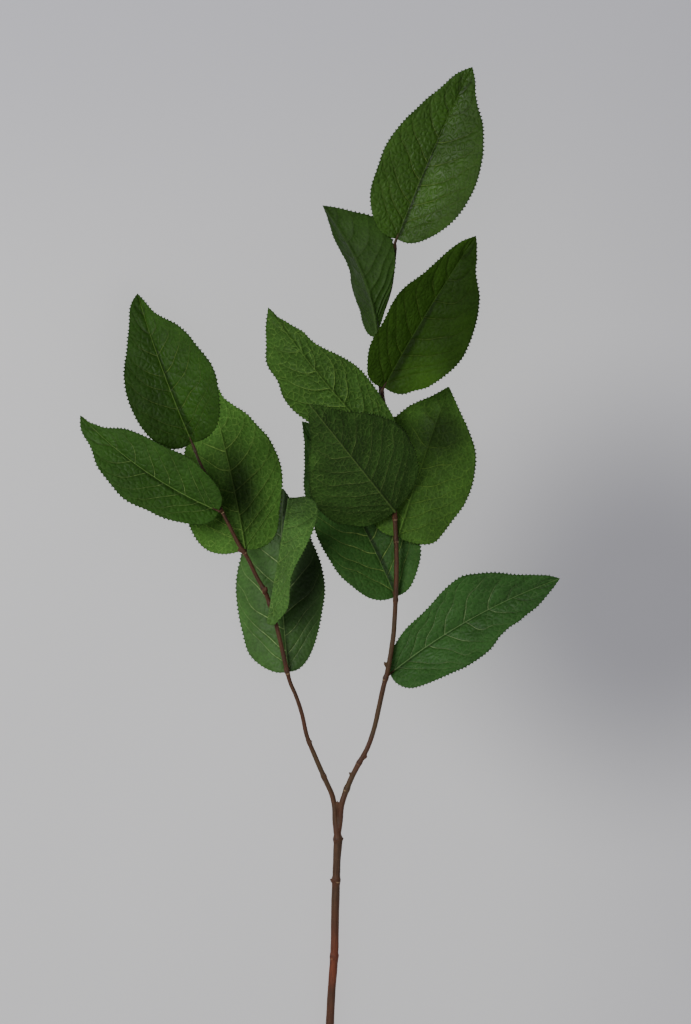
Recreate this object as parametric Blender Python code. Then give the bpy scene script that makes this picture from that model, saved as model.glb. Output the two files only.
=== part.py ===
"""Cut branch of salal laid on a table: one forked stem and thirteen toothed leaves, each leaf its own solid.

X runs to the right, Y towards the leafy tips, Z up off the table. Lengths in the tables are millimetres.
"""
import bpy
import math
import numpy as np
from mathutils.geometry import delaunay_2d_cdt
from mathutils import Vector

NAME = "salal_branch"
MM = 0.001
CENTRE = (0.1, -3.8)        # middle of the branch on the table, taken off X and Y at the end

BLADE = 0.66                # thickness of a blade between its veins
TEETH = 26                  # teeth down each side of a blade
TOOTH = 0.85                # how far a tooth stands out of its notch
LATERALS = (0.06, 0.16, 0.27, 0.39, 0.52, 0.66)   # where the side veins leave the midrib, as shares of length
GAP = 0.5                   # air between the end of a petiole and its blade

# Half widths are given at these shares of the length, first for the left half seen from the upper face.
STATIONS = np.array([0.06, 0.18, 0.34, 0.52, 0.7, 0.86, 0.95])

# base, bend and tip steer the midrib; roll turns the blade about it, 180 showing the underside;
# fold is the slope of each half in degrees; cup is how much more the margins rise; lobe is how far the
# lobes reach back past the base, as a share of the length.
LEAVES = {
    "leaf_right_tip": dict(
        base=(39.6, 178.3, 22), bend=(56, 222, 27), tip=(79, 267.5, 25), roll=(0, 0), fold=(15, 15), cup=0.06,
        left=(12.5, 20.5, 23, 21.5, 15, 7.5, 4), right=(13.5, 23.5, 28, 27.5, 21, 9.5, 4)),
    "leaf_right_folded": dict(
        base=(29.5, 127.5, 22.8), bend=(27, 162.5, 21.5), tip=(1, 196.5, 16), roll=(180, 205, 216, 214, 205),
        fold=(32, 32), cup=0.1,
        left=(3, 6, 13, 18, 18, 8.5, 3.5), right=(6, 9.5, 14.5, 14, 14, 7.5, 2.5)),
    "leaf_right_upper": dict(
        base=(33, 101, 22.5), bend=(50, 133.5, 27), tip=(80.5, 179, 32), roll=(-20, -18, -8), fold=(20, 20),
        cup=0.06, left=(14, 21, 22, 21.5, 14, 8, 4), right=(14, 22, 26.5, 26, 20, 9, 4.5)),
    "leaf_middle_light": dict(
        base=(34.8, 68.5, 22), bend=(7, 94.5, 30), tip=(-27, 141.5, 38), roll=(192, 192), fold=(14, 14),
        cup=0.06, left=(11, 15, 17, 16, 8.5, 5, 2), right=(15, 22.5, 25, 25, 19.5, 13.5, 6.5)),
    "leaf_middle_front": dict(
        base=(38.5, 36.5, 19.5), bend=(19, 60, 62), tip=(-5, 89.5, 88), roll=(180, 180), fold=(14, 14),
        cup=0.06, lobe=0.12, left=(19, 28, 31, 28, 19.5, 9, 4), right=(19, 28, 31, 26.5, 17.5, 8, 3.5)),
    "leaf_middle_right": dict(
        base=(40.5, 23, 12), bend=(54, 65, 14), tip=(67.5, 102, -1.6), roll=(180, 180), fold=(6, 6),
        cup=0.02, left=(17, 24, 28.5, 28.5, 23, 12, 4.5), right=(14, 22, 27, 27, 22, 12, 4)),
    "leaf_lower_middle": dict(
        base=(39, -8.5, 9.5), bend=(21.5, 34.5, 0.5), tip=(-10, 84, 1), roll=(-9, -9), fold=(12, 12),
        cup=0.04, left=(14, 21.5, 26, 24, 18.5, 8, 3), right=(15, 23.5, 26.5, 25, 18.5, 9, 5)),
    "leaf_right_low": dict(
        base=(36.5, -49, 7), bend=(76.5, -16.5, 11), tip=(126, 1, 6), roll=(14, 9, 4), fold=(16, 16),
        cup=0.06, left=(7, 13, 16.5, 21.5, 17, 8, 4), right=(13, 18, 20.5, 18.5, 13.5, 7, 3)),
    "leaf_left_low": dict(
        base=(-17, -48, 8.5), bend=(-22.5, -5.5, 7.5), tip=(-20, 48.5, 2), roll=(0, 0), fold=(-10, -10),
        cup=-0.04, left=(14.5, 21, 23.5, 24, 19.5, 10, 4), right=(10, 17, 21.5, 22.5, 17, 9.5, 4)),
    "leaf_left_back": dict(
        base=(-39.5, 16.5, 14.5), bend=(-47, 62, 9), tip=(-61, 107, -1.6), roll=(180, 180), fold=(6, 6),
        cup=0.02, left=(15, 21, 25.5, 25.5, 17.5, 7.5, 3.5), right=(19, 26.5, 28, 25.5, 18, 9, 4)),
    "leaf_left_tip": dict(
        base=(-67, 72, 22), bend=(-83.5, 110.5, 34), tip=(-96, 150.5, 14), roll=(5, 6, 8), fold=(14, 14),
        cup=0.06, left=(13, 20, 22, 19.5, 12.5, 7.5, 4), right=(15, 23, 27, 23, 15, 4.5, 2)),
    "leaf_left_far": dict(
        base=(-57, 36.5, 21.5), bend=(-94, 54, 32), tip=(-125.5, 86.5, 19), roll=(2, 0), fold=(17, 17),
        cup=0.06, left=(9, 14, 16.5, 17.5, 13.5, 7, 4), right=(10, 16.5, 19, 16.5, 12.5, 3.5, 1.2)),
    "leaf_left_rolled": dict(
        base=(-26.5, -20, 20), bend=(-16, 40.5, 23), tip=(-15.5, 44, 76), roll=(250, 266, 262, 246, 242),
        fold=(30, 26, 37, 58, 67), cup=0.06,
        left=(5.5, 11, 16, 16.5, 15.5, 13, 6.5), right=(2.5, 7, 13, 13, 9, 5, 2)),
}

# Centre lines: x, y, z and radius. The main stem runs on into the left branch.
MAIN = [
    (4.6, -275, 2.05, 2.15), (4.8, -234, 3, 2.1), (5.7, -216, 3.6, 2.1), (7.1, -197, 4.3, 2.1),
    (7.5, -176, 5, 2.1), (8.5, -146, 6.2, 2.05), (8.9, -135, 6.8, 2.1), (8.2, -130.5, 7, 1.65),
    (7.6, -127, 7.1, 1.45), (7.1, -118.2, 7.3, 1.45), (6.2, -113.8, 7.5, 1.5), (2.2, -104.5, 7.9, 1.5),
    (-3.2, -92, 8.5, 1.45), (-7.2, -82, 9.2, 1.35),
    (-9.9, -70, 10, 1.25), (-13.2, -60, 10.9, 1.25), (-16.2, -53, 11.4, 1.25), (-18, -46, 11.9, 1.3),
    (-20, -37, 12.6, 1.3), (-23, -24.3, 13.6, 1.3), (-26, -14, 14.5, 1.3), (-29.2, -5.5, 15.3, 1.3),
    (-33.3, 1.8, 16, 1.25), (-38.5, 12.5, 17, 1.2), (-42.6, 18.8, 17.6, 1.2), (-47.5, 28.5, 18.3, 1.1),
    (-51.8, 37, 19, 1.05), (-58.5, 53, 20.3, 0.95), (-62.8, 61.5, 21, 0.9), (-65.4, 68, 21.6, 0.85)]
RIGHT = [
    (9.4, -133.5, 7, 1.2), (10.1, -127, 7.1, 1.45), (10.9, -118.2, 7.4, 1.6), (12.2, -113.8, 7.6, 1.7),
    (15.6, -105, 8, 1.7),
    (19.6, -97, 8.5, 1.6), (24.3, -88.5, 8.9, 1.5), (28, -78, 9.2, 1.5), (30.6, -66.5, 9.7, 1.5),
    (33, -55.5, 10.4, 1.5), (35.3, -46.3, 11, 1.5), (37, -36.5, 11.6, 1.45), (38.2, -28, 12.1, 1.45),
    (38.8, -19, 12.6, 1.45), (39.4, -6.5, 13.2, 1.45), (39.7, 4.5, 13.9, 1.45), (39.7, 15, 14.6, 1.4),
    (39.2, 26, 15.3, 1.4), (38.6, 37, 16, 1.4), (36.2, 66, 18, 1.35), (33, 92.4, 19, 1.35),
    (31.7, 99.2, 19.3, 1.35), (30.5, 107.5, 19.4, 1.25), (28.9, 123, 19.2, 1.15), (30, 134.5, 18.5, 1.1),
    (33.6, 143.5, 17.8, 1.05), (36.6, 153, 17.2, 1), (38.2, 165, 16.8, 0.95), (39.2, 174.5, 18, 0.9)]

# Rings round the stem where a leaf or a bud sits: x, y and how much thicker, as a share.
RINGS = {
    "main": [(8.6, -158, 0.16), (8.8, -136, 0.2), (7.1, -198, 0.12), (1.5, -103, 0.2), (-6, -85, 0.15),
             (-17.5, -48, 0.3), (-27, -12, 0.35), (-30, -4, 0.2), (-40.5, 15.5, 0.35), (-52, 37, 0.25)],
    "right": [(13.6, -109.5, 0.2), (20, -96, 0.15), (34, -51, 0.3), (39.3, -10, 0.25), (39.4, 21, 0.25),
              (38.8, 33, 0.2), (35.8, 62, 0.2), (31.8, 98.5, 0.25), (29.3, 126, 0.2)]}

# Buds and short spurs: the point on the centre line, the way it leans, how long and how thick.
BUDS = [
    ((8.8, -138, 6.6), (0.9, 0.7, 0.2), 4.2, 1.15), ((7.5, -160, 5.6), (-0.8, 0.9, 0.3), 4.2, 0.9),
    ((7, -200, 4.2), (0.8, 0.8, 0.3), 3.8, 0.9), ((9.1, -121, 7.3), (-0.05, 1, 0.25), 5.6, 0.75),
    ((17.2, -103.5, 8.2), (-0.7, 0.8, 0.3), 4, 0.9), ((21.6, -96, 8.6), (0.6, 0.8, 0.3), 3.8, 1),
    ((35, -45.5, 11), (-0.6, 1, 0.4), 3.8, 0.95), ((1.8, -104.5, 8), (-0.3, 1, 0.5), 3.8, 0.95),
    ((-6.7, -86.5, 9), (0.7, 0.8, 0.3), 3.4, 0.9), ((-17.6, -48, 11.8), (-0.7, 0.8, 0.3), 2.8, 0.95),
    ((-29.6, -7, 15.3), (0.35, 1, 0.5), 4.6, 1.35), ((-41, 15.5, 17.4), (-0.8, 0.2, 0.3), 3, 0.95)]

# Where each petiole leaves the stem.
PETIOLES = {
    "leaf_right_tip": (39, 173, 17.8), "leaf_right_folded": (29, 121.5, 19.2),
    "leaf_right_upper": (31.9, 96, 19.2), "leaf_middle_light": (36.4, 63, 17.8),
    "leaf_middle_front": (38.9, 32.5, 15.7), "leaf_middle_right": (39.6, 18, 14.8),
    "leaf_lower_middle": (39.1, -14, 12.8), "leaf_right_low": (33.9, -52.5, 10.6),
    "leaf_left_low": (-16.4, -52.5, 11.4), "leaf_left_back": (-38.8, 12.5, 17),
    "leaf_left_tip": (-65, 67, 21.5), "leaf_left_far": (-51.8, 36.6, 19),
    "leaf_left_rolled": (-23.4, -23.5, 13.7)}


def clear():
    for thing in list(bpy.data.objects):
        bpy.data.objects.remove(thing, do_unlink=True)


def collection(name):
    made = bpy.data.collections.new(name)
    bpy.context.scene.collection.children.link(made)
    return made


def material(name, colour, roughness):
    """Plain Principled material of one colour."""
    made = bpy.data.materials.new(name)
    made.use_nodes = True
    shader = made.node_tree.nodes["Principled BSDF"]
    shader.inputs["Base Color"].default_value = (*colour, 1)
    shader.inputs["Roughness"].default_value = roughness
    return made


def unit(v):
    return v / np.linalg.norm(v, axis=-1, keepdims=True)


def smooth(t, at, values):
    """Smooth line through values given at the stations."""
    at = np.asarray(at, float)
    values = np.asarray(values, float)
    i = np.clip(np.searchsorted(at, t) - 1, 0, len(at) - 2)
    slope = np.gradient(values, at, axis=0)
    h = at[i + 1] - at[i]
    x = np.clip((t - at[i]) / h, 0, 1)
    if values.ndim > 1:
        h, x = h[..., None], x[..., None]
    return ((2 * x ** 3 - 3 * x ** 2 + 1) * values[i] + (x ** 3 - 2 * x ** 2 + x) * h * slope[i]
            + (3 * x ** 2 - 2 * x ** 3) * values[i + 1] + (x ** 3 - x ** 2) * h * slope[i + 1])


def spread(t, values):
    """Smooth line through values spaced evenly from 0 to 1."""
    return smooth(t, np.linspace(0, 1, len(values)), values)


def oval(t):
    """Plain ovate half outline: half width over its greatest, t from 0 at the base to 1 at the tip."""
    t = np.clip(t, 0, 1)
    low = np.sqrt(np.clip(1 - ((0.4 - t) / 0.4) ** 2, 0, 1))
    s = np.clip((t - 0.4) / 0.6, 0, 1)
    return np.where(t < 0.4, low, 1 - s ** 1.75)


class Blade:
    """A leaf blade: its flat outline and the way the flat blade is carried into space."""

    def __init__(self, base, bend, tip, roll, fold, cup, left, right, lobe=0.06):
        self.base, self.bend, self.tip = (np.array(v, float) for v in (base, bend, tip))
        self.roll, self.fold, self.cup, self.lobe = roll, fold, cup, lobe
        self.halves = (left, right)
        self.widest = max(max(left), max(right))
        self.u = np.linspace(0, 1, 201)
        steps = np.linalg.norm(np.diff(self.curve(self.u), axis=0), axis=1)
        run = np.concatenate([[0], np.cumsum(steps)])
        self.length = run[-1]
        self.share = run / run[-1]

    def curve(self, u):
        u = np.asarray(u, float)[..., None]
        return (1 - u) ** 2 * self.base + 2 * u * (1 - u) * self.bend + u ** 2 * self.tip

    def along(self, u):
        u = np.asarray(u, float)[..., None]
        return unit((1 - u) * (self.bend - self.base) + u * (self.tip - self.bend))

    def half_width(self, t, side):
        """Half width in mm; side 0 is the left half, 1 the right."""
        t = np.clip(t, 0, 1)
        return smooth(t, STATIONS, np.array(self.halves[side], float) / oval(STATIONS)) * oval(t)

    def margin(self, side, t):
        """Flat margin of one half: mm along from the base, mm across with the left half negative."""
        wide = self.half_width(t, side)
        back = self.lobe * wide / max(self.halves[side]) * np.clip(1 - t / 0.4, 0, 1) ** 2
        return np.stack([(t - back) * self.length, wide * (1, -1)[side == 0]], -1)

    def place(self, flat):
        """Points in space for flat points (mm along, mm across)."""
        t = flat[..., 0] / self.length
        across = flat[..., 1]
        inside = np.clip(t, 0, 1)
        u = np.interp(inside, self.share, self.u)
        tangent = self.along(u)
        level = unit(np.cross(tangent, np.array([0, 0, 1.0])))
        up = np.cross(level, tangent)
        roll = np.radians(spread(inside, self.roll))[..., None]
        side = np.cos(roll) * level + np.sin(roll) * up
        face = np.cos(roll) * up - np.sin(roll) * level
        fold = np.radians(spread(inside, self.fold))
        rise = np.abs(across) * np.sin(fold) + self.cup * across ** 2 / self.widest
        return (self.curve(u) + tangent * ((t - inside) * self.length)[..., None]
                + side * (across * np.cos(fold))[..., None] + face * rise[..., None])

    def facing(self, flat):
        """Unit vectors square to the blade, out of its upper face."""
        d = 0.4
        along = self.place(flat + (d, 0)) - self.place(flat - (d, 0))
        across = self.place(flat + (0, d)) - self.place(flat - (0, d))
        return unit(np.cross(across, along))


def toothed_margin(blade, side):
    """Flat margin from base to tip, a notch and a forward-leaning tooth in turn."""
    t = (1 - np.cos(np.linspace(0, math.pi, 240))) / 2
    line = blade.margin(side, t)
    run = np.concatenate([[0], np.cumsum(np.linalg.norm(np.diff(line, axis=0), axis=1))])
    pitch = run[-1] / TEETH
    points = []
    for k in range(TEETH):
        for shift, out in ((0.0, -0.5), (0.62, 0.5)):
            s = (k + shift) * pitch
            if s == 0:
                continue
            here = np.array([np.interp(s, run, line[:, i]) for i in (0, 1)])
            ahead = np.array([np.interp(s + 0.3, run, line[:, i]) for i in (0, 1)])
            behind = np.array([np.interp(s - 0.3, run, line[:, i]) for i in (0, 1)])
            way = unit(ahead - behind)
            outward = np.array([-way[1], way[0]]) * (1, -1)[side == 1]
            ends = min(1.0, s / (3 * pitch), (run[-1] - s) / (2 * pitch))
            points.append(here + outward * out * TOOTH * max(ends, 0.3))
    return points


def side_vein(blade, side, start, q):
    """Flat points on a side vein that leaves the midrib at start; q runs from 0 to 1 at the margin."""
    q = np.asarray(q, float)
    t = start + (0.2 - 0.08 * start) * q ** 1.4
    return np.stack([t * blade.length, blade.half_width(t, side) * q * (1, -1)[side == 0]], -1)


def blade_net(blade):
    """Flat points of a blade with what each is: (outline count, points, upper relief, lower relief, edges)."""
    left = toothed_margin(blade, 0)
    right = toothed_margin(blade, 1)
    outline = [np.array([0.0, 0.0])] + right + [np.array([blade.length, 0.0])] + left[::-1]
    points = list(outline)
    relief = [(0.0, 0.0)] * len(outline)
    relief[0] = (0.1, 0.4)
    edges = [(i, (i + 1) % len(outline)) for i in range(len(outline))]

    def add(flat, upper, lower):
        points.append(np.array(flat, float))
        relief.append((upper, lower))
        return len(points) - 1

    rib = [0]
    for t in np.linspace(0.05, 0.93, 11):
        rib.append(add((t * blade.length, 0), -0.2, 0.75 * (1 - 0.7 * t)))
    rib.append(1 + len(right))
    edges += list(zip(rib, rib[1:]))
    for side in (0, 1):
        sign = (-1, 1)[side]
        for t in np.linspace(0.08, 0.8, 7):
            add((t * blade.length, sign * min(1.9, 0.4 * blade.half_width(t, side))), 0.1, 0.0)
        for i, start in enumerate(LATERALS):
            row = [add(p, -0.1, 0.32) for p in side_vein(blade, side, start, (0.34, 0.62, 0.88))]
            edges += list(zip(row, row[1:]))
            after = LATERALS[i + 1] if i + 1 < len(LATERALS) else 0.78
            for p in side_vein(blade, side, (start + after) / 2, (0.45, 0.76)):
                add(p, 0.3, -0.2)
    return len(outline), points, relief, edges


def leaf(name, spec, home, look):
    """One closed blade: the same triangles on both faces, joined round the toothed margin."""
    blade = Blade(**spec)
    rim, points, relief, edges = blade_net(blade)
    got = delaunay_2d_cdt([Vector(p) for p in points], edges, [], 1, 1e-5)
    flat = np.array([tuple(v) for v in got[0]])
    origin = [ids[0] for ids in got[3]]
    upper = np.array([relief[i][0] for i in origin])
    lower = np.array([relief[i][1] for i in origin])
    middle = blade.place(flat)
    facing = blade.facing(flat)
    top = middle + facing * (BLADE / 2 + upper)[:, None]
    bottom = middle - facing * (BLADE / 2 + lower)[:, None]
    low_top = top[:, 2] < bottom[:, 2]
    top[:, 2] = np.maximum(top[:, 2], np.where(low_top, 0.0, 0.62))
    bottom[:, 2] = np.maximum(bottom[:, 2], np.where(low_top, 0.62, 0.0))
    n = len(flat)
    place = {source: i for i, source in enumerate(origin)}
    faces = [tuple(f) for f in got[2]]
    faces += [tuple(i + n for i in reversed(f)) for f in got[2]]
    for i in range(rim):
        a, b = place[i], place[(i + 1) % rim]
        faces += [(a, b, b + n), (a, b + n, a + n)]
    return solid(name, np.concatenate([top, bottom]), faces, home, look)


def solid(name, points, faces, home, look):
    """Mesh object from points in mm, turned to face out."""
    mesh = bpy.data.meshes.new(name)
    shifted = (np.asarray(points, float) - (*CENTRE, 0)) * MM
    mesh.from_pydata([tuple(p) for p in shifted], [], faces)
    mesh.update()
    made = bpy.data.objects.new(name, mesh)
    home.objects.link(made)
    corners = np.array([v.co for v in mesh.vertices])
    volume = 0.0
    for face in mesh.polygons:
        a, b, c = (corners[i] for i in face.vertices[:3])
        volume += float(np.dot(a, np.cross(b, c)))
        if len(face.vertices) == 4:
            volume += float(np.dot(a, np.cross(c, corners[face.vertices[3]])))
    if volume < 0:
        mesh.flip_normals()
    mesh.materials.append(look)
    return made


def tube(name, route, sides, home, look):
    """Closed tube along centre points with their radii."""
    route = np.asarray(route, float)
    centre, radius = route[:, :3], route[:, 3]
    way = unit(np.gradient(centre, axis=0))
    lean = np.array([0, 0, 1.0]) if abs(way[0][2]) < 0.8 else np.array([1.0, 0, 0])
    rings = []
    for c, w, r in zip(centre, way, radius):
        lean = unit(lean - w * np.dot(lean, w))
        other = np.cross(w, lean)
        for k in range(sides):
            turn = 2 * math.pi * (k + 0.5) / sides
            rings.append(c + r * (math.cos(turn) * lean + math.sin(turn) * other))
            rings[-1][2] = max(rings[-1][2], 0)
    faces = []
    for i in range(len(centre) - 1):
        for k in range(sides):
            a, b = i * sides + k, i * sides + (k + 1) % sides
            faces += [(a, b, b + sides), (a, b + sides, a + sides)]
    faces.append(tuple(range(sides))[::-1])
    last = (len(centre) - 1) * sides
    faces.append(tuple(range(last, last + sides)))
    return solid(name, rings, faces, home, look)


def branch_route(stations, rings, step):
    """Centre line at even steps, with extra places round each ring, where it is thicker."""
    stations = np.array(stations, float)
    run = np.concatenate([[0], np.cumsum(np.linalg.norm(np.diff(stations[:, :3], axis=0), axis=1))])
    fine = np.linspace(0, run[-1], 800)
    line = smooth(fine, run, stations)
    swells = []
    for x, y, more in rings:
        near = np.argmin((line[:, 0] - x) ** 2 + (line[:, 1] - y) ** 2)
        swells.append((fine[near], more))
    places = list(np.linspace(0, run[-1], int(run[-1] / step)))
    for s, _ in swells:
        places = [p for p in places if abs(p - s) > 3.4 or p in (0, run[-1])]
    for s, _ in swells:
        places += [s + d for d in (-1.7, 0, 1.7) if 0 < s + d < run[-1]]
    places = sorted(places)
    keep = [p for p, q in zip(places, places[1:] + [1e9]) if q - p > 0.7]
    out = smooth(np.array(keep), run, stations)
    for s, more in swells:
        out[:, 3] *= 1 + more * np.exp(-((np.array(keep) - s) / 1.5) ** 2)
    return out


def petiole_route(spec, start):
    """From inside the stem to just short of the blade, arriving along its midrib."""
    blade = Blade(**spec)
    way = blade.along(np.array(0.0))
    end = blade.base - way * GAP
    near = end - way * 1.8
    start = np.array(start, float)
    middle = (start + near) / 2
    return [(*start, 1.0), (*middle, 1.0), (*near, 0.95), (*end, 0.7)]


def bud_route(root, lean, length, thick):
    root = np.array(root, float)
    lean = unit(np.array(lean, float))
    steps = ((0, 0.75), (0.35, 1), (0.62, 0.92), (0.85, 0.55), (1, 0.2))
    return [(*(root + lean * length * s), thick * r) for s, r in steps]


def stem(home, look):
    """Main stem, both branches, petioles and buds, joined by one union."""
    pieces = collection("stem_pieces")
    tube("main", branch_route(MAIN, RINGS["main"], 9), 9, pieces, look)
    tube("right", branch_route(RIGHT, RINGS["right"], 9), 8, pieces, look)
    for name, start in PETIOLES.items():
        tube("petiole_" + name, petiole_route(LEAVES[name], start), 6, pieces, look)
    for i, bud in enumerate(BUDS):
        tube("bud_%02d" % i, bud_route(*bud), 6, pieces, look)
    first = pieces.objects["main"]
    pieces.objects.unlink(first)
    home.objects.link(first)
    first.name = "stem"
    union = first.modifiers.new("union", "BOOLEAN")
    union.operation = "UNION"
    union.operand_type = "COLLECTION"
    union.collection = pieces
    union.solver = "EXACT"
    union.use_self = True
    bpy.context.view_layer.update()
    joined = bpy.data.meshes.new_from_object(first.evaluated_get(bpy.context.evaluated_depsgraph_get()))
    first.modifiers.remove(union)
    first.data = joined
    for piece in list(pieces.objects):
        bpy.data.objects.remove(piece, do_unlink=True)
    bpy.data.collections.remove(pieces)
    return first


def main():
    clear()
    home = collection(NAME)
    bark = material("bark", (0.09, 0.035, 0.022), 0.6)
    stem(home, bark)
    for name, spec in LEAVES.items():
        green = (0.045, 0.11, 0.02) if max(spec["roll"]) > 90 else (0.02, 0.07, 0.018)
        leaf(name, spec, home, material("green_" + name, green, 0.4))


main()
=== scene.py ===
"""Salal branch laid on a pale table: finely toothed and veined leaves and a bark-covered stem.

X runs to the right, Y towards the leafy tips, Z up. Lengths in the lists below are millimetres, and CENTRE
is the middle of the branch on the table, where the frame has X = Y = 0.
"""

import math

import bpy
import numpy as np
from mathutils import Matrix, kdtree


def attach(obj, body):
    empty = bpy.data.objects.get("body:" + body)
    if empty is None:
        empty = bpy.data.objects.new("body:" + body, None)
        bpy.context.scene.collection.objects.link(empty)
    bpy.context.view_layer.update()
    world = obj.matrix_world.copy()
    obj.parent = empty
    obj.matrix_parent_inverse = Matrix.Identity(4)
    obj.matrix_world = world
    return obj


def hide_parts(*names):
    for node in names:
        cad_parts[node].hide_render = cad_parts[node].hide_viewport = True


MM = 0.001
CENTRE = (0.1, -3.8)

CAMERA_AT = (12.9, 39.8, 1505)      # mm, straight above the middle of the picture
LENS = 100.06                       # mm
SENSOR = 36                         # mm high

# Where each lamp stands in metres, how wide it is and its power in watts.
LAMPS = {"key": ((-0.95, 0.5, 1.8), 1.0, 41), "fill": ((0.7, -1.1, 1.5), 1.2, 9)}

BLADE = 0.5             # thickness of a blade
FLOOR = 0.03            # lowest a blade may lie above the table
END_FLOOR = 0.1         # and its base and tip
TOOTH_PITCH = 2.1       # along the margin
TOOTH = 0.95            # how far a tooth stands out of its notch
HALF_COLUMNS = 32       # faces from the midrib to the margin
PETIOLE_LAP = 3.5       # how far a petiole runs on under its blade
SKIN = 0.36             # width of the faces of the stem's skin
NO_RING = 1000          # distance to a ring on what has none

# A tooth leans forward: how far along it each row of points lies, and how far out as a share of TOOTH.
TOOTH_ROWS = ((0.0, -0.5), (0.22, 0.2), (0.54, 0.5), (0.82, 0.2))

# Rows of points run forward as side veins do: one that ends at a share ROW_ENDS of the way along the margin
# starts on the midrib at the share ROW_STARTS of the blade.
ROW_ENDS = (0, 0.12, 0.25, 0.4, 0.6, 0.8, 0.92, 1)
ROW_STARTS = (0, 0.02, 0.06, 0.17, 0.38, 0.64, 0.84, 1)
ROW_CURVE = 1.4         # over 1, rows bend more the nearer they come to the margin

# Where side veins leave the midrib and how far forward they reach, as shares of the blade, and how much of
# that they gain evenly; the rest comes late, as they turn along the margin.
VEINS = (0.02, 0.11, 0.215, 0.33, 0.45, 0.575, 0.71, 0.85)
VEIN_REACH = 0.3
VEIN_EVEN = 0.45
VEIN_TURN = 2.2

# Relief of a blade in mm: panels between side veins, ripple near the margin, swell inside it and puffed
# cells rise; the midrib, the crease along it and the side veins sink, and both ribs stand out below.
PANEL, RIPPLE, SWELL, CELLS = 0.2, 0.5, 0.15, 0.21
RIB_SINK, CREASE_SINK, VEIN_SINK = 0.15, 0.5, 0.36
RIB_BELOW, VEIN_BELOW = 0.62, 0.2

# Half widths are given at these shares of the length, and a plain blade is widest at BELLY.
STATIONS = np.array([0.06, 0.18, 0.34, 0.52, 0.7, 0.86, 0.95])
BELLY = 0.4

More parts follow.
